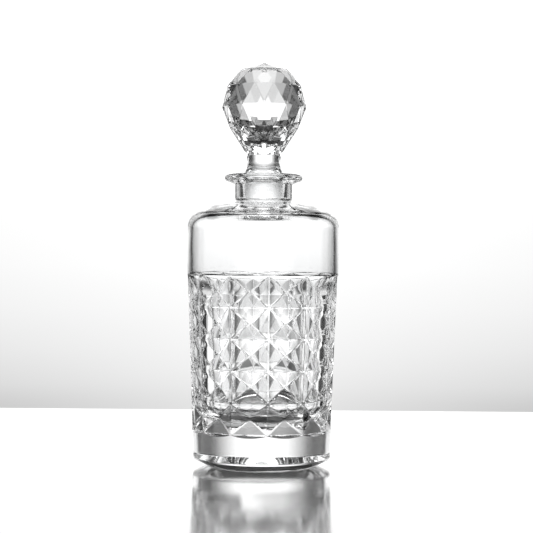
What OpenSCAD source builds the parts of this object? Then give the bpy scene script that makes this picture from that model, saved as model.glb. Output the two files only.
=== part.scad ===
// Cut crystal spirits decanter: a heavy bottle and its faceted stopper.
// Origin: the middle of the flat it stands on. +Z is up. Millimetres.
// A groove between two columns of the cutting faces -Y.

/* [Body] */
// Diameter of the plain round band above the cutting
band_d = 99.6; // [92:0.2:108]
// Diameter at the top of the bevel round the base
base_d = 90.8; // [84:0.2:94]
// Diameter of the ground flat that it stands on
foot_d = 71; // [60:0.5:76]
// Height of the bevel round the base
bevel_h = 6.3; // [4:0.1:9]
// Height at which the side begins to turn in to the shoulder
shoulder_z = 157; // [154:0.5:159]
// Height at which the shoulder meets the neck
neck_z = 173.6; // [171:0.2:176]

/* [Inside] */
// Thickness of glass in the plain band
wall = 3; // [2.4:0.1:4]
// Thickness of glass from the corners of the cutting to the inside
cut_wall = 7; // [6.4:0.1:8]
// Thickness of solid glass under the inside
floor_t = 30; // [24:0.5:34]
// Radius of the round corner at the bottom of the inside
floor_r = 15; // [8:0.5:18]

/* [Neck and lip] */
// Diameter of the neck
neck_d = 37.6; // [34:0.2:42]
// Height of the top of the lip
lip_z = 191.2; // [188:0.2:195]
// Diameter of the lip
lip_d = 51.2; // [46:0.2:56]
// Thickness of the lip at its rim
lip_t = 4.4; // [3:0.1:5.4]
// Diameter of the ground bore at the top of its taper
bore_d = 26.8; // [25:0.1:28]
// Widening of the bore, on its diameter, for each millimetre of height
bore_taper = 0.1; // [0.05:0.01:0.12]

/* [Cutting] */
// Number of columns of hollows round the body
columns = 12; // [10:1:16]
// Number of rows of hollows
rows = 5; // [3:1:6]
// Height of the bottom edge of the lowest row
cut_z0 = 24; // [20:0.5:28]
// Height of the top edge of the top row
cut_z1 = 124.7; // [118:0.1:128]
// Depth of each hollow's point, under the flat between its corners
hollow_depth = 3.4; // [1.5:0.1:3.6]
// How far the corners of the hollows are polished in from the side
corner_skim = 0.1; // [0.05:0.05:0.4]

/* [Stopper] */
// Diameter of the stopper's head, over its points
head_d = 55.8; // [48:0.2:60]
// Height of the whole object, with the stopper home
total_h = 265.2; // [260:0.2:272]
// Height of the girdle, the sharp edge under the head's widest points
girdle_z = 221.7; // [218:0.1:224]
// Diameter over the points of the girdle
girdle_d = 46.6; // [42:0.2:50]
// Diameter of the stem, at its slimmest
stem_d = 21.4; // [19:0.2:23]
// Height of the plug's lower end
plug_z = 172.4; // [170:0.2:175]
// Gap all round between the ground plug and its bore
plug_gap = 0.15; // [0.1:0.01:0.3]

/* [Hidden] */
$fn = 96;

column_angle = 360 / columns;
row_h = (cut_z1 - cut_z0) / rows;
band_r = band_d / 2;
base_r = base_d / 2;
taper_k = (band_r - base_r) / (cut_z1 - bevel_h);
run_out_h = 2;         // height of the sloped top ends of the cutting
run_out_r = 3.2;       // how far those ends lean outwards
ledge_h = 8;           // height of the 45 degree cone under the cutting
overlap = 0.2;         // how far joined solids run into each other
base_round = 1.7;      // small round at the top of the bevel
shoulder_round = 9.8;
neck_foot_r = 1.6;
mouth_flare = 1.2;     // how much the rim of the bore opens
mouth_h = 1.6;         // height of that opening
bore_top_z = lip_z - mouth_h;
ceiling_z = 166.5;
ceiling_r = 7;

// Radius of the bottle's side under the band, at height z
function side_r(z) = band_r - taper_k * max(0, cut_z1 - z);

// Radius of the hollows' corners and of their points, at height z
function corner_r(z) = side_r(z) - corner_skim;
function point_r(z) = corner_r(z) * cos(column_angle / 2) - hollow_depth;

// n + 1 points on an arc about [x, z], from angle a0 to angle a1
function arc(x, z, r, a0, a1, n = 8) =
    [for (i = [0 : n]) let (a = a0 + (a1 - a0) * i / n) [x + r * cos(a), z + r * sin(a)]];

// A ring of points of the cutting, level with z and turned by some columns
function ring(r, z, turn) =
    [for (i = [0 : columns - 1]) let (a = (i + turn) * column_angle - 90)
        [r * cos(a), r * sin(a), z]];

// Radius of the bore's taper at height z
function bore_r(z) = bore_d / 2 - bore_taper / 2 * (bore_top_z - z);

// ---- bottle ----

// The outside before cutting, from the foot up to the axis at the lip
module blank() {
    lip_round = lip_t / 2;
    rotate_extrude()
        polygon(concat(
            [[0, 0], [foot_d / 2, 0]],
            arc(base_r - base_round, bevel_h, base_round, -35, 0, 4),
            [[band_r, cut_z1], [band_r, shoulder_z]],
            arc(band_r - shoulder_round, shoulder_z, shoulder_round, 8, 74, 8),
            [[38.9, neck_z - 5.6], [33.7, neck_z - 3], [29.4, neck_z - 1.6]],
            [[neck_d / 2 + neck_foot_r, neck_z]],
            arc(neck_d / 2 + neck_foot_r, neck_z + neck_foot_r, neck_foot_r, 260, 180, 4),
            [[neck_d / 2, lip_z - lip_t - 2.4], [neck_d / 2 + 1.6, lip_z - lip_t - 1]],
            arc(lip_d / 2 - lip_round, lip_z - lip_round, lip_round, -80, 90, 8),
            [[0, lip_z]]));
}

// A sleeve of four-sided hollows, whose top end leans out through the blank
module hollows() {
    corners = [for (i = [0 : rows]) let (z = cut_z0 + i * row_h) each ring(corner_r(z), z, 0)];
    points = [for (i = [0 : rows - 1]) let (z = cut_z0 + (i + 0.5) * row_h)
        each ring(point_r(z), z, 0.5)];
    foot = ring(corner_r(cut_z0), cut_z0 - ledge_h, 0);
    head = ring(corner_r(cut_z1) + run_out_r, cut_z1 + run_out_h, 0);
    first_point = columns * (rows + 1);
    first_foot = first_point + columns * rows;
    first_head = first_foot + columns;
    function corner(i, j) = i * columns + (j % columns);
    facets = [for (i = [0 : rows - 1], j = [0 : columns - 1])
        let (p = first_point + i * columns + j)
        each [
            [p, corner(i, j), corner(i, j + 1)],
            [p, corner(i, j + 1), corner(i + 1, j + 1)],
            [p, corner(i + 1, j + 1), corner(i + 1, j)],
            [p, corner(i + 1, j), corner(i, j)]
        ]];
    ends = [for (j = [0 : columns - 1]) let (k = (j + 1) % columns)
        each [
            [first_foot + j, first_foot + k, corner(0, j + 1), corner(0, j)],
            [corner(rows, j), corner(rows, j + 1), first_head + k, first_head + j]
        ]];
    caps = [
        [for (j = [0 : columns - 1]) first_head + j],
        [for (j = [columns - 1 : -1 : 0]) first_foot + j]
    ];
    polyhedron(
        points = concat(corners, points, foot, head),
        faces = [for (f = concat(facets, ends, caps)) [for (k = [len(f) - 1 : -1 : 0]) f[k]]]);
}

// What the cutting leaves: the glass above and below it, and the hollows
module keep() {
    reach = lip_d + band_d;
    translate([0, 0, cut_z1 + run_out_h - overlap])
        cylinder(r = reach, h = lip_z);
    translate([0, 0, cut_z0 - reach])
        cylinder(r = reach, h = reach);
    translate([0, 0, cut_z0 - overlap])
        cylinder(r1 = side_r(cut_z0) + overlap, r2 = side_r(cut_z0) - ledge_h, h = ledge_h + overlap);
    hollows();
}

// The space inside: a round-cornered floor, a wall that is thick behind the
// cutting and thin in the plain band, the shoulder's ceiling and the bore
module inside() {
    inner_r = band_r - wall;
    low_r = corner_r(floor_t + floor_r) - cut_wall;
    step_low = cut_z1 - 13.7;
    step_high = cut_z1 + 2.3;
    thick_r = corner_r(step_low) - cut_wall;
    mouth_r = bore_r(bore_top_z) + mouth_flare;
    rotate_extrude()
        polygon(concat(
            [[0, floor_t], [low_r - floor_r, floor_t]],
            arc(low_r - floor_r, floor_t + floor_r, floor_r, -80, 0, 8),
            [for (t = [0 : 0.125 : 1]) let (share = (3 - 2 * t) * t * t)
                [thick_r + (inner_r - thick_r) * share, step_low + (step_high - step_low) * t]],
            arc(inner_r - ceiling_r, shoulder_z - 0.5, ceiling_r, 0, 75, 7),
            [[bore_r(ceiling_z) + 4, ceiling_z], [bore_r(ceiling_z + 4), ceiling_z + 4]],
            [[bore_r(bore_top_z), bore_top_z], [mouth_r, lip_z], [mouth_r, lip_z + 1]],
            [[0, lip_z + 1]]));
}

module bottle() {
    color([0.9, 0.93, 0.95, 0.45])
        difference() {
            intersection() {
                blank();
                keep();
            }
            inside();
        }
}

// ---- stopper ----

// The head: rings of points, each ring turned half a column from the last
module head() {
    rings = [
        [stem_d / 2 + 1.7, girdle_z - 15.4],
        [girdle_d / 2, girdle_z],
        [head_d / 2, girdle_z + 14],
        [head_d * 0.448, girdle_z + 27.5],
        [head_d * 0.3, total_h - 5.4]
    ];
    count = len(rings);
    points = [for (i = [0 : count - 1]) each ring(rings[i][0], rings[i][1], i / 2)];
    foot = len(points);
    tip = foot + 1;
    function at(i, j) = i * columns + (j + columns) % columns;
    sides = [for (i = [0 : count - 2], j = [0 : columns - 1])
        each [
            [at(i, j), at(i, j + 1), at(i + 1, j)],
            [at(i + 1, j), at(i, j + 1), at(i + 1, j + 1)]
        ]];
    crown = [for (j = [0 : columns - 1]) [at(count - 1, j), at(count - 1, j + 1), tip]];
    under = [for (j = [0 : columns - 1]) [at(0, j + 1), at(0, j), foot]];
    polyhedron(
        points = concat(points, [[0, 0, rings[0][1]], [0, 0, total_h]]),
        faces = [for (f = concat(sides, crown, under)) [f[2], f[1], f[0]]]);
}

// The stem and the ground plug, one turned shape
module stem_and_plug() {
    stem_r = stem_d / 2;
    collar_z = girdle_z - 15.2;
    rotate_extrude()
        polygon(concat(
            [[0, plug_z], [bore_r(plug_z) - plug_gap - 1.6, plug_z]],
            [[bore_r(plug_z + 2) - plug_gap, plug_z + 2]],
            [[bore_r(bore_top_z) - plug_gap, bore_top_z]],
            [[stem_r + 1.1, lip_z + 1.8], [stem_r + 0.3, lip_z + 4.6], [stem_r, lip_z + 7]],
            [[stem_r + 0.4, collar_z - 4], [stem_r + 1.3, collar_z], [0, collar_z]]));
}

module stopper() {
    color([0.9, 0.93, 0.95, 0.6]) {
        head();
        stem_and_plug();
    }
}

bottle();
stopper();
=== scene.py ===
# %% [markdown]
# # A cut crystal decanter
#
# The real thing is two pieces of clear crystal: a heavy bottle, and a stopper whose plug is ground
# to fit the neck. Clear glass shows every face twice, once from outside and once through the rest,
# so this lesson models each piece as one closed skin with a true wall, and lets the renderer bend
# the light. The engineering model is loaded first. It fixes the size and the place of everything.

# %% Load the engineering model
import math

import bmesh
import bpy
from mathutils import Matrix, Vector


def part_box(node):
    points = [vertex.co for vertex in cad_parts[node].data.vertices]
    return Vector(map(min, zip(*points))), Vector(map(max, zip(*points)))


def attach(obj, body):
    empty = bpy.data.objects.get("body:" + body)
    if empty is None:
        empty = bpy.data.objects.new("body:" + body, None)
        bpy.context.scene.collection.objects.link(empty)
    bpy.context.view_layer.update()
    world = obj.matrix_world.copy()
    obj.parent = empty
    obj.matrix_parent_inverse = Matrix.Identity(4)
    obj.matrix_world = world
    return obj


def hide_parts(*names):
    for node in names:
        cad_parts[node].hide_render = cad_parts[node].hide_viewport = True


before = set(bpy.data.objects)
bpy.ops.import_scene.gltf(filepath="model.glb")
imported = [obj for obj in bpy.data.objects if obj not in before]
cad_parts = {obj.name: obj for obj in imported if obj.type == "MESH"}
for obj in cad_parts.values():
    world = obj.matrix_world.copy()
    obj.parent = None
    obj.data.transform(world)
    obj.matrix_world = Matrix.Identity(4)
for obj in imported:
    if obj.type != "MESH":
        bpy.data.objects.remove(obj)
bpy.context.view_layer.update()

MM = 0.001
bottle_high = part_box("bottle")[1]
stopper_low, stopper_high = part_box("stopper")

# %% [markdown]
# ## Turned shapes
#
# The blank of the bottle and the stem of the stopper are shapes of revolution. In Blender such a
# shape is a chain of points, half of the outline, that `spin` carries once round the axis. It
# could also be a Screw modifier, but the cutting needs the finished mesh. The last copy is merged
# with the first, and the points on the axis with each other, so the skin has no seam and no hole
# at its poles. Outlines are written in millimetres, as on a drawing.

# %% Spin a half outline into a closed skin
TURNS = 180                # steps of a full turn
WELD = 0.002 * MM          # points nearer than this are one point


def arc(centre_r, centre_z, radius, start, end, steps=10):
    """Points of an arc in the half outline; angles in degrees."""
    angles = [math.radians(start + (end - start) * i / steps) for i in range(steps + 1)]
    return [(centre_r + radius * math.cos(a), centre_z + radius * math.sin(a)) for a in angles]


def turned(outline, steps=TURNS):
    """A closed skin of revolution about the upright axis."""
    skin = bmesh.new()
    points = [skin.verts.new((r * MM, 0, z * MM)) for r, z in outline]
    chain = [skin.edges.new(pair) for pair in zip(points, points[1:])]
    bmesh.ops.spin(skin, geom=points + chain, cent=(0, 0, 0), axis=(0, 0, 1), dvec=(0, 0, 0),
                   angle=math.tau, steps=steps, use_merge=True)
    bmesh.ops.remove_doubles(skin, verts=skin.verts, dist=WELD)
    bmesh.ops.recalc_face_normals(skin, faces=skin.faces)
    return skin


def as_object(skin, name):
    """Puts a bmesh into the scene as an object at the origin, with two empty material slots."""
    mesh = bpy.data.meshes.new(name)
    skin.to_mesh(mesh)
    skin.free()
    mesh.materials.append(None)
    mesh.materials.append(None)
    piece = bpy.data.objects.new(name, mesh)
    bpy.context.scene.collection.objects.link(piece)
    return piece


# %% [markdown]
# ## Sizes of the bottle
#
# The body is a cone that widens a little from the base to a plain round band. The outer sizes are
# read from the engineering model, and the others are the ones that it was drawn with. Three small
# functions give the radius of the side, of the cutting's corners and of the bore at any height.

# %% Sizes, in millimetres
BAND_R = bottle_high.x / MM
LIP_Z = bottle_high.z / MM
BASE_R = 45.4
BASE_ROUND = 2.4           # round at the top of the base's bevel
BEVEL_H = 6.3
FOOT_R = 35.5
CUT_Z0 = 24.0
CUT_Z1 = 124.7
SHOULDER_Z = 157.0
SHOULDER_ROUND = 9.8
NECK_Z = 173.6
NECK_R = 18.8
NECK_FOOT_R = 1.6          # fillet where the neck meets the shoulder
LIP_R = 25.6
LIP_T = 4.4
WALL = 3.0                 # glass in the plain band
CUT_WALL = 7.0             # glass behind the corners of the cutting
FLOOR_T = 30.0
FLOOR_ROUND = 15.0
CEILING_ROUND = 7.0        # round inside the shoulder
MOUTH_H = 1.6
BORE_TOP_R = 13.4
BORE_SLOPE = 0.05          # widening of the bore's radius for each millimetre of height
COLUMNS = 12
ROWS = 5
HOLLOW_DEPTH = 3.4         # of each hollow's point, under the flat between its corners
CORNER_SKIM = 0.1          # how far the corners are polished in from the side
TAPER = (BAND_R - BASE_R) / (CUT_Z1 - BEVEL_H)
HALF_COLUMN = math.pi / COLUMNS


def side_r(z):
    return BAND_R - TAPER * max(0, CUT_Z1 - z)


def corner_r(z):
    return side_r(z) - CORNER_SKIM


def bore_r(z):
    return BORE_TOP_R - BORE_SLOPE * (LIP_Z - MOUTH_H - z)


row_h = (CUT_Z1 - CUT_Z0) / ROWS
print(f"{ROWS} rows of {row_h:.1f} mm; side leans {math.degrees(math.atan(TAPER)):.2f} degrees")

# %% [markdown]
# ## The blank
#
# Before it is cut, the bottle is a turned body: a ground flat foot, a bevel, the leaning side, the
# plain band, a round shoulder, the neck and a flared lip with a rounded rim. The space inside is
# part of the same outline, walked back down from the mouth to the floor, so one spin makes both
# skins and joins them at the rim. The wall is thick behind the cutting and thin in the band.

# %% Spin the blank, outside and inside together
lip_round = LIP_T / 2
inner_r = BAND_R - WALL
STEP_Z0, STEP_Z1 = 111.0, 127.0    # between these heights the wall thins to the band's
STEP_PARTS = 16
thick_r = corner_r(STEP_Z0) - CUT_WALL
floor_edge_r = corner_r(FLOOR_T + FLOOR_ROUND) - CUT_WALL - FLOOR_ROUND
outside = [
    (0, 0), (FOOT_R, 0),
    *arc(BASE_R - BASE_ROUND, BEVEL_H, BASE_ROUND, -40, 0, 6),
    (BAND_R, CUT_Z1), (BAND_R, SHOULDER_Z),
    *arc(BAND_R - SHOULDER_ROUND, SHOULDER_Z, SHOULDER_ROUND, 4, 74, 14),
    (40.6, 167.3), (38.9, 168.0), (36.6, 169.2), (33.7, 170.6), (29.4, 172.0), (25, 173.0),
    *arc(NECK_R + NECK_FOOT_R, NECK_Z + NECK_FOOT_R, NECK_FOOT_R, 260, 180, 6),
    (NECK_R, LIP_Z - LIP_T - 2.4), (NECK_R + 0.5, LIP_Z - LIP_T - 1.6),
    *arc(LIP_R - lip_round, LIP_Z - lip_round, lip_round, -80, 90, 14),
]
inside = [
    (0, FLOOR_T),
    *arc(floor_edge_r, FLOOR_T + FLOOR_ROUND, FLOOR_ROUND, -84, 0, 14),
    *[(thick_r + (inner_r - thick_r) * (3 - 2 * t) * t * t, STEP_Z0 + (STEP_Z1 - STEP_Z0) * t)
      for t in (i / STEP_PARTS for i in range(STEP_PARTS + 1))],
    *arc(inner_r - CEILING_ROUND, SHOULDER_Z - 0.5, CEILING_ROUND, 0, 75, 10),
    (bore_r(166.5) + 4, 166.5), (bore_r(167.5) + 1.6, 167.7), (bore_r(170.5), 170.5),
    (bore_r(LIP_Z - MOUTH_H), LIP_Z - MOUTH_H),
    (bore_r(LIP_Z - MOUTH_H) + 0.4, LIP_Z - 0.5), (bore_r(LIP_Z - MOUTH_H) + 1.2, LIP_Z),
]
bottle = as_object(turned(outside + inside[::-1]), "cut_bottle")
print("blank:", len(bottle.data.polygons), "faces")

# %% [markdown]
# ## The cutting
#
# The field is twelve columns and five rows of four-sided hollows. On a real bottle a mitred wheel
# grinds them, and the upright ridges that it leaves between them keep the old surface. Here the wheel's
# work is one sleeve: a ring of twelve points is extruded from height to height, so each face of
# the sleeve is one cell. `poke` puts a point in the middle of every cell, and the point is moved
# towards the axis. A narrow bevel rounds all ridges, which gives them their bright lines. Then
# the blank keeps only what lies inside the sleeve.

# %% Helpers that grow a sleeve ring by ring, and join two solids
FAR_R = 90                 # a radius well outside the bottle


def set_ring(verts, radius, z):
    """Moves points to a radius and a height and keeps their angles."""
    for v in verts:
        v.co = Vector((v.co.x, v.co.y, 0)).normalized() * radius * MM
        v.co.z = z * MM


def extrude_ring(skin, edges, radius, z):
    """Extrudes the open rim of a sleeve and returns its new rim, points and faces."""
    new = bmesh.ops.extrude_edge_only(skin, edges=edges)["geom"]
    points = [g for g in new if isinstance(g, bmesh.types.BMVert)]
    set_ring(points, radius, z)
    return ([g for g in new if isinstance(g, bmesh.types.BMEdge)], points,
            [g for g in new if isinstance(g, bmesh.types.BMFace)])


def combined(piece, other, operation):
    """One exact boolean step, applied; the second object is used up."""
    step = piece.modifiers.new(operation.lower(), "BOOLEAN")
    step.operation = operation
    step.object = other
    step.solver = "EXACT"
    bpy.context.view_layer.update()
    done = bpy.data.meshes.new_from_object(
        piece.evaluated_get(bpy.context.evaluated_depsgraph_get()))
    piece.modifiers.clear()
    spare, piece.data = piece.data, done
    done.name = piece.name
    bpy.data.meshes.remove(spare)
    bpy.data.objects.remove(other)


# %% [markdown]
# The sleeve starts far outside the bottle and comes in at 45 degrees to the lowest corners, climbs
# row by row, and leans out again above the top row. Both ends lie outside the blank, so they cut
# only the two sloped ledges where the wheel ran out of the glass.

# %% Grow the sleeve and find its cells
TOP_SLOPE = 0.6            # rise of the sleeve's top end for each millimetre outwards
RIDGE_W = 1.3              # width of the rounded ridges
sleeve = bmesh.new()
rim_points = bmesh.ops.create_circle(sleeve, segments=COLUMNS, radius=1.0)["verts"]
set_ring(rim_points, FAR_R, -60)
rim = list({e for v in rim_points for e in v.link_edges})
levels = [(FAR_R, CUT_Z0 - (FAR_R - corner_r(CUT_Z0)))]
levels += [(corner_r(CUT_Z0 + i * row_h), CUT_Z0 + i * row_h) for i in range(ROWS + 1)]
levels += [(FAR_R, CUT_Z1 + (FAR_R - corner_r(CUT_Z1)) * TOP_SLOPE), (FAR_R, 260)]
cells = []
for number, (radius, z) in enumerate(levels):
    rim, rim_points, faces = extrude_ring(sleeve, rim, radius, z)
    if 2 <= number < 2 + ROWS:
        cells += faces
bmesh.ops.holes_fill(sleeve, edges=[e for e in sleeve.edges if e.is_boundary], sides=0)
print("cells:", len(cells))

# %% Press in the points, round the ridges, and cut the blank
for v in bmesh.ops.poke(sleeve, faces=cells)["verts"]:
    z = v.co.z / MM
    set_ring([v], corner_r(z) * math.cos(HALF_COLUMN) - HOLLOW_DEPTH, z)
bmesh.ops.recalc_face_normals(sleeve, faces=sleeve.faces)
ridges = [e for e in sleeve.edges
          if all((CUT_Z0 - 1) * MM < v.co.z < (CUT_Z1 + 1) * MM for v in e.verts)]
bmesh.ops.bevel(sleeve, geom=ridges, offset=RIDGE_W * MM, offset_type="WIDTH", affect="EDGES",
                segments=3, profile=0.5, material=-1, clamp_overlap=True)
for face in sleeve.faces:
    face.material_index = 1
combined(bottle, as_object(sleeve, "sleeve"), "INTERSECT")
print("ridges:", len(ridges), "bottle faces:", len(bottle.data.polygons))

# %% [markdown]
# ## Smooth glass, crisp cuts
#
# Polished glass is smooth where it was turned and flat where it was cut. All faces are set to
# smooth, and the edges that must stay crisp are marked sharp: where a cut meets the turned skin,
# and where two faces meet at a clear angle. Doubles are merged first, because an unmerged seam
# would show as a line. The count of open edges must be zero, or light would leak into the glass.

# %% Mark the crisp edges
TURNED_LIMIT = 24          # degrees between turned faces that still look round
CUT_LIMIT = 2              # degrees between cut faces that still look flat


def shade(piece):
    skin = bmesh.new()
    skin.from_mesh(piece.data)
    bmesh.ops.remove_doubles(skin, verts=skin.verts, dist=WELD)
    for face in skin.faces:
        face.smooth = True
    for edge in skin.edges:
        kinds = {face.material_index for face in edge.link_faces}
        limit = math.radians(CUT_LIMIT if kinds == {1} else TURNED_LIMIT)
        edge.smooth = len(kinds) == 1 and edge.calc_face_angle(0) < limit
    open_edges = sum(not edge.is_manifold for edge in skin.edges)
    print(piece.name, "open edges:", open_edges, "glass:", round(skin.calc_volume() * 1e6), "ml")
    skin.to_mesh(piece.data)
    skin.free()


shade(bottle)

# %% [markdown]
# ## The stopper
#
# Its head is cut all round into triangles. Every ring of twelve points stands half a column on
# from the ring below, and a band of triangles fills the space between two rings. `bridge_loops`
# would make four-sided faces with bends in them, so each triangle takes one edge of a ring and
# the nearest point of the other ring. The top is closed by a face with a raised point in it. The
# stem and the ground plug are one turned shape, joined to the head by a boolean.

# %% Build the faceted head
TIP = stopper_high.z / MM
# Radius and height of each ring, from the head's foot to its crown
HEAD = [(12.4, 206.3), (23.3, 221.7), (27.9, 235.7), (25.0, 249.2), (16.8, 260.0)]
PEAK = (3.6, TIP - 1.35)   # radius and height of the small cone at the very top
STOPPER_TURN = -4.6        # degrees; how the stopper happens to be turned in the neck
FACET_EDGE_W = 0.45        # width of the polished edge between two facets
head = bmesh.new()


def head_ring(number):
    """Twelve new points of one ring of the head, and the edges between them."""
    radius, z = HEAD[number]
    points = bmesh.ops.create_circle(head, segments=COLUMNS, radius=radius * MM)["verts"]
    turn = math.radians(STOPPER_TURN) + HALF_COLUMN * number
    bmesh.ops.rotate(head, verts=points, cent=(0, 0, 0), matrix=Matrix.Rotation(turn, 3, "Z"))
    bmesh.ops.translate(head, verts=points, vec=(0, 0, z * MM))
    return points, list({e for v in points for e in v.link_edges})


def nearest(points, edge):
    middle = (edge.verts[0].co + edge.verts[1].co) / 2
    return min(points, key=lambda v: (v.co - middle).length)


low_points, low_edges = head_ring(0)
for number in range(1, len(HEAD)):
    high_points, high_edges = head_ring(number)
    for edge in high_edges:
        head.faces.new((*edge.verts, nearest(low_points, edge)))
    for edge in low_edges:
        head.faces.new((*edge.verts, nearest(high_points, edge)))
    low_points, low_edges = high_points, high_edges
ends = bmesh.ops.holes_fill(head, edges=[e for e in head.edges if e.is_boundary], sides=0)["faces"]
crown = max(ends, key=lambda face: face.calc_center_median().z)
bmesh.ops.inset_individual(head, faces=[crown], thickness=(HEAD[-1][0] - PEAK[0]) * MM)
set_ring(crown.verts, *PEAK)
bmesh.ops.poke(head, faces=[crown])["verts"][0].co.z = TIP * MM
bmesh.ops.recalc_face_normals(head, faces=head.faces)
bmesh.ops.bevel(head, geom=list(head.edges), offset=FACET_EDGE_W * MM, offset_type="WIDTH",
                affect="EDGES", segments=1, profile=0.5, material=-1, clamp_overlap=True)
for face in head.faces:
    face.material_index = 1
stopper = as_object(head, "faceted_stopper")
print("head facets:", len(stopper.data.polygons))

# %% Turn the stem and the ground plug, and join them to the head
GAP = 0.15                 # clearance of the ground joint
PLUG_Z = stopper_low.z / MM
stem_outline = [
    (0, PLUG_Z), (bore_r(PLUG_Z) - GAP - 1.9, PLUG_Z), (bore_r(173) - GAP - 0.5, 173.0),
    (bore_r(174.5) - GAP, 174.5), (bore_r(189.6) - GAP, 189.6), (12.2, 193.4), (11.4, 195),
    (10.9, 197.5), (10.8, 200), (11.3, 203), (12.0, 206.4), (0, 206.4)]
combined(stopper, as_object(turned(stem_outline, 96), "stem"), "UNION")
shade(stopper)

# %% [markdown]
# ## Shader maths in plain Python
#
# Materials that are worked out with many small nodes are hard to read as a list of links. One
# small class wraps a socket and gives it the usual operators, so `1 - mask` or `noise * 0.3`
# makes the Math node and links it. Any other node comes from one method, which takes the node's
# type, its settings, and the values or links of its sockets.

# %% A socket that can be calculated with
class Value:
    def __init__(self, tree, socket):
        self.tree = tree
        self.socket = socket

    def node(self, kind, settings=None, out=0, **sockets):
        return add_node(self.tree, kind, settings, out, **sockets)

    def maths(self, operation, first, second=None):
        node = self.tree.nodes.new("ShaderNodeMath")
        node.operation = operation
        for socket, value in zip(node.inputs, (first, second)):
            if isinstance(value, Value):
                self.tree.links.new(value.socket, socket)
            elif value is not None:
                socket.default_value = value
        return Value(self.tree, node.outputs[0])

    def __add__(self, other):
        return self.maths("ADD", self, other)

    def __sub__(self, other):
        return self.maths("SUBTRACT", self, other)

    def __rsub__(self, other):
        return self.maths("SUBTRACT", other, self)

    def __mul__(self, other):
        return self.maths("MULTIPLY", self, other)

    __radd__ = __add__
    __rmul__ = __mul__

    def size(self):
        return self.maths("ABSOLUTE", self)


def add_node(tree, kind, settings=None, out=0, **sockets):
    """A node of any type: settings first, then the values or links of its sockets."""
    node = tree.nodes.new("ShaderNode" + kind)
    for name, value in (settings or {}).items():
        setattr(node, name, value)
    for name, value in sockets.items():
        socket = node.inputs[name.replace("_", " ")]
        if isinstance(value, Value):
            tree.links.new(value.socket, socket)
        else:
            socket.default_value = value
    return Value(tree, node.outputs[out])


def curve(value, stops):
    """A line drawn through (input, output) stops, by a Color Ramp whose greys are scaled."""
    low, high = stops[0][0], stops[-1][0]
    peak = max(output for _, output in stops)
    share = value.node("MapRange", Value=value, From_Min=low, From_Max=high)
    ramp = share.node("ValToRGB", Fac=share)
    elements = ramp.socket.node.color_ramp.elements
    for _ in stops[2:]:
        elements.new(0.5)
    for element, (position, output) in zip(elements, stops):
        element.position = (position - low) / (high - low)
        element.color = (*[output / peak] * 3, 1)
    return ramp * peak


# %% [markdown]
# ## Crystal
#
# Crystal is clear, almost without colour, and bends light more than window glass. Principled
# transmission with a high index does that. What keeps it from looking like a computer's glass is
# small: the skin was fire polished, so it is very slightly wavy, and it carries faint marks of
# the polishing wheel. Both are bump, from noise in object coordinates. The plug of the stopper and
# the flat of the foot are ground, which the roughness shows by height, with a soft border.

# %% The two crystals
CRYSTAL_IOR = 1.56
BORDER = 0.0006            # metres over which ground glass becomes clear
MARKS_SHARE = 0.06         # strength of the wheel's marks beside the waves


def crystal(name, ripple, ground_low, ground_high, ground_roughness):
    """Clear crystal with a slight ripple, and a ground zone between two heights."""
    material = bpy.data.materials.new(name)
    material.use_nodes = True
    tree = material.node_tree
    shader = tree.nodes["Principled BSDF"]
    shader.inputs["Base Color"].default_value = (0.995, 0.998, 1.0, 1)
    shader.inputs["IOR"].default_value = CRYSTAL_IOR
    shader.inputs["Transmission Weight"].default_value = 1.0
    where = add_node(tree, "TexCoord", out=3)
    height = where.node("SeparateXYZ", out=2, Vector=where)
    above = where.node("MapRange", {"interpolation_type": "SMOOTHSTEP"}, Value=height,
                       From_Min=ground_low - BORDER, From_Max=ground_low)
    below = where.node("MapRange", {"interpolation_type": "SMOOTHSTEP"}, Value=height,
                       From_Min=ground_high, From_Max=ground_high + BORDER)
    grain = where.node("TexNoise", Vector=where, Scale=1400.0, Detail=2.0)
    ground = above * (1 - below)
    roughness = ground * (grain * 0.4 + 0.8) * ground_roughness
    tree.links.new(roughness.socket, shader.inputs["Roughness"])
    waves = where.node("TexNoise", Vector=where, Scale=45.0, Detail=1.0)
    marks = where.node("TexNoise", Vector=where, Scale=260.0, Detail=1.0)
    relief = where.node("Bump", Height=waves + marks * MARKS_SHARE, Strength=1.0, Distance=ripple)
    tree.links.new(relief.socket, shader.inputs["Normal"])
    return material


bottle_crystal = crystal("bottle_crystal", 0.00012, -0.01, 0.00005, 0.12)
stopper_crystal = crystal("stopper_crystal", 0.00004, 0.1745, LIP_Z * MM - 0.0016, 0.10)
for piece, node_name, material in ((bottle, "bottle", bottle_crystal),
                                   (stopper, "stopper", stopper_crystal)):
    for slot in range(len(piece.data.materials)):
        piece.data.materials[slot] = material
    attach(piece, node_name)
    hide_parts(node_name)
print("materials:", [material.name for material in (bottle_crystal, stopper_crystal)])

# %% [markdown]
# ## The camera
#
# A long lens at half the height of the decanter, so the base is seen a little from above and the
# shoulder a little from below. The camera stands a few degrees to one side, and leans a trace.

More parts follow.
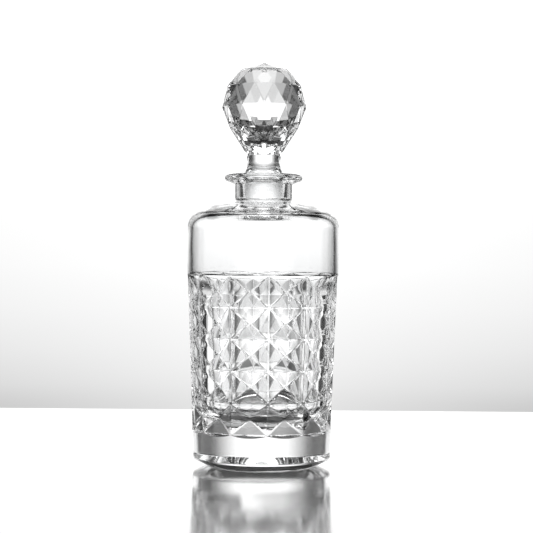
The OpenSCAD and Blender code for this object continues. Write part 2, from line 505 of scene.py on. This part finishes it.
# %% Place the camera
CAMERA_TURN = math.radians(-4.6)
CAMERA_ROLL = math.radians(0.45)
CAMERA_DISTANCE = 0.944
CAMERA_HEIGHT = 0.1307
FOCAL_RATIO = 2.683        # focal length over picture width
ahead = Vector((-math.sin(CAMERA_TURN), math.cos(CAMERA_TURN), 0))
camera = bpy.data.objects.new("camera", bpy.data.cameras.new("camera"))
bpy.context.scene.collection.objects.link(camera)
camera.data.sensor_width = 36
camera.data.lens = camera.data.sensor_width * FOCAL_RATIO
camera.data.clip_start = 0.01
camera.data.shift_x = 0.0066
camera.matrix_world = (Matrix.Translation(Vector((0, 0, CAMERA_HEIGHT)) - ahead * CAMERA_DISTANCE)
                       @ Matrix.Rotation(CAMERA_TURN, 4, "Z")
                       @ Matrix.Rotation(math.pi / 2, 4, "X")
                       @ Matrix.Rotation(CAMERA_ROLL, 4, "Z"))
bpy.context.scene.camera = camera

# %% [markdown]
# ## The table
#
# A pale glossy board, whose far edge is close behind the decanter. It could be an endless sheet,
# but the edge gives the horizon behind the base. It is a scaled cube, turned with the camera.

# %% Model the table
TABLE_SIZE = (2.4, 1.56, 0.02)
TABLE_FAR_EDGE = 0.36
board = bmesh.new()
bmesh.ops.create_cube(board, size=1.0)
bmesh.ops.scale(board, vec=TABLE_SIZE, verts=board.verts)
bmesh.ops.translate(board, vec=(0, TABLE_FAR_EDGE - TABLE_SIZE[1] / 2, -TABLE_SIZE[2] / 2 - 0.0001),
                    verts=board.verts)
bmesh.ops.rotate(board, verts=board.verts, cent=(0, 0, 0),
                 matrix=Matrix.Rotation(CAMERA_TURN, 3, "Z"))
table = as_object(board, "table")

print("table:", TABLE_SIZE)

# %% [markdown]
# ## The table's lacquer, with painted shade and a painted glow
#
# Near grazing angles lacquer mirrors what stands on it, so a diffuse shader and a slightly blurred
# glossy one are mixed by how far the surface faces away. The cloudy roughness is what a wiped
# surface has. Clear glass on a white table would lose its dark lines, so a Light Path node paints
# shade on the table near the foot: its colour there is darker for light that reaches it through
# glass than for the camera. The board also glows white, a painted light that is stronger for the
# camera and fades near the foot for other rays, and its colour darkens towards grazing angles.

# %% Finish the table
lacquer = bpy.data.materials.new("white_lacquer_painted_glow_and_shade")
lacquer.use_nodes = True
tree = lacquer.node_tree
paint = tree.nodes["Principled BSDF"]
seen = add_node(tree, "LightPath")
facing = seen.node("LayerWeight", out=1, Blend=0.5)
steep = seen.node("MapRange", Value=facing, From_Min=0.84, From_Max=0.7)
spot = add_node(tree, "VectorMath", {"operation": "LENGTH"}, out=1,
                Vector=add_node(tree, "TexCoord", out=3))
# painted shade: for rays that are not the camera's, the table is darker within 0.11 to 0.18 m of the
# decanter's axis
away_from_painted_shade = seen.node("MapRange", Value=spot, From_Min=0.11, From_Max=0.18)
# the table's colour, with the painted shade near the foot; also darker towards grazing angles, less so
# for camera rays
pale = seen.maths("MAXIMUM", steep * (away_from_painted_shade * 0.85 + 0.08), seen * (steep * 0.65 + 0.35))
tone_with_painted_shade = pale.node("Mix", {"data_type": "FLOAT"}, Factor=pale, A=0.05, B=0.86)
tree.links.new(seen.node("CombineColor", Red=tone_with_painted_shade, Green=tone_with_painted_shade, Blue=tone_with_painted_shade).socket,
               paint.inputs["Base Color"])
paint.inputs["Emission Color"].default_value = (1, 1, 1, 1)
# painted glow: the board emits white light, stronger for camera rays and weaker near the foot for other
# rays
painted_glow = seen.maths("MAXIMUM", seen, away_from_painted_shade) * (steep * 0.25 + 0.05)
tree.links.new(painted_glow.socket, paint.inputs["Emission Strength"])
paint.inputs["Roughness"].default_value = 0.6
paint.inputs["Specular IOR Level"].default_value = 0.0
cloud = add_node(tree, "TexNoise", Vector=add_node(tree, "TexCoord", out=3), Scale=60.0, Detail=3.0)
polish = cloud.node("BsdfGlossy", Color=(1, 1, 1, 1), Roughness=cloud * 0.03 + 0.085)
mirror = cloud.node("MapRange", Value=facing, From_Min=0.69, From_Max=0.88, To_Min=0.04, To_Max=0.92)
surface = tree.nodes.new("ShaderNodeMixShader")
tree.links.new(mirror.socket, surface.inputs[0])
tree.links.new(paint.outputs[0], surface.inputs[1])
tree.links.new(polish.socket, surface.inputs[2])
tree.links.new(surface.outputs[0], tree.nodes["Material Output"].inputs["Surface"])
for slot in range(2):
    table.data.materials[slot] = lacquer

# %% [markdown]
# ## The studio
#
# Clear glass is lit from behind. It shows the room bent through itself, so the room is the whole
# picture: a bright field behind the object makes the white, and dark boards beside that field
# make the grey and black lines along the edges. The room could be built of lamps and boards, but
# the world shader draws it with less noise, by direction: yaw in degrees from straight ahead, and
# elevation, both worked out from the direction that is looked in.

# %% Find yaw and elevation
world = bpy.data.worlds.new("studio")
world.use_nodes = True
bpy.context.scene.world = world
room = world.node_tree
direction = add_node(room, "TexCoord")
straight = direction.node("Mapping", Vector=direction, Rotation=(0, 0, -CAMERA_TURN))
east, north, up = (straight.node("SeparateXYZ", out=axis, Vector=straight) for axis in range(3))
DEGREES = 180 / math.pi
yaw = (east.maths("ARCTAN2", east, north) * DEGREES).size()
elevation = up.maths("ARCSINE", up) * DEGREES
print("room turned by", round(CAMERA_TURN * DEGREES, 1), "degrees")

# %% [markdown]
# ## Fields, boards and lamps
#
# A bright field stands ahead and another to each side, with dark boards between them. Low down the
# field fades, as a lit paper backdrop does near the table, and more so away from its middle. A
# dark ring lies above the fields and a lamp overhead. A broad light stands behind the camera.

# %% Brightness by yaw, and by height
from_field = 90 - (yaw - 90).size()
boards = curve(from_field, [
    (0, 1), (15, 1), (20, .78), (25, .5), (31, .2), (37, .05), (43, .01), (57, .01), (64, .9),
    (70, 1), (90, 1)])
falloff = curve(from_field, [(0, 0), (12, 1), (90, 1)])
height_near = curve(elevation, [
    (-30, .8), (-12, .8), (-7, .72), (-5.5, .765), (-4.1, .84), (-2.5, .885), (-.9, .93), (0, .965),
    (1.5, .985), (4.3, 1.03), (8, 1.3), (30, 1.3)])
height_far = curve(elevation, [
    (-30, .7), (-7, .5), (-5.5, .55), (-4.7, .65), (-3.3, .74), (-1.7, .81), (0, .86), (1.5, .89),
    (4.3, .95), (8, 1.3), (30, 1.3)])
lamps = curve(elevation, [(0, 1), (22, 1), (28, .3), (34, .02), (60, .02), (68, 1), (90, 1.2)])

# %% [markdown]
# ## The light behind the camera
#
# It whitens the plain band by its reflection. Towards the sides it keeps mostly to the horizon, so
# the base keeps dark ends. The camera itself sees the fields without the boards, which gives a pale
# backdrop from every side: that is what the Light Path node is for.

# %% Front light, and the whole room
level = curve(elevation, [(-90, 1), (2.5, 1), (5, 0.35), (90, 0.35)])
front_side = curve(yaw, [(0, 0), (88, 0), (102, 1), (180, 1)]) * level
front_middle = curve(yaw, [(0, 0), (132, 0), (146, 1), (180, 1)])
open_front = front_side.maths("MAXIMUM", front_side, front_middle)
open_above = curve(elevation, [(-90, .4), (-40, .4), (-16, 0), (56, 0), (66, 1), (90, 1)])
lit = boards.maths("MAXIMUM", boards, open_front)
lit = lit + open_above * (1 - lit)
lit = lit.maths("MAXIMUM", lit, add_node(room, "LightPath"))
height = height_near + (height_far - height_near) * falloff
behind_camera = curve(yaw, [(0, 1), (128, 1), (150, 1.8), (180, 1.8)])
light = lit * height * lamps * behind_camera
grey = light.node("CombineColor", Red=light, Green=light, Blue=light)
room.links.new(grey.socket, room.nodes["Background"].inputs["Color"])

# %% [markdown]
# ## Display and light paths
#
# Cut crystal needs many bounces, or deep facets turn black. The plain display transform keeps white
# paper white, and a little extra contrast suits clear glass.

# %% Set the display and the bounces
scene = bpy.context.scene
scene.view_settings.view_transform = "Standard"
scene.view_settings.look = "Medium High Contrast"
scene.view_settings.exposure = -0.12
scene.cycles.max_bounces = 24
scene.cycles.transmission_bounces = 24
scene.cycles.glossy_bounces = 12
print("bounces:", scene.cycles.max_bounces, "look:", scene.view_settings.look)
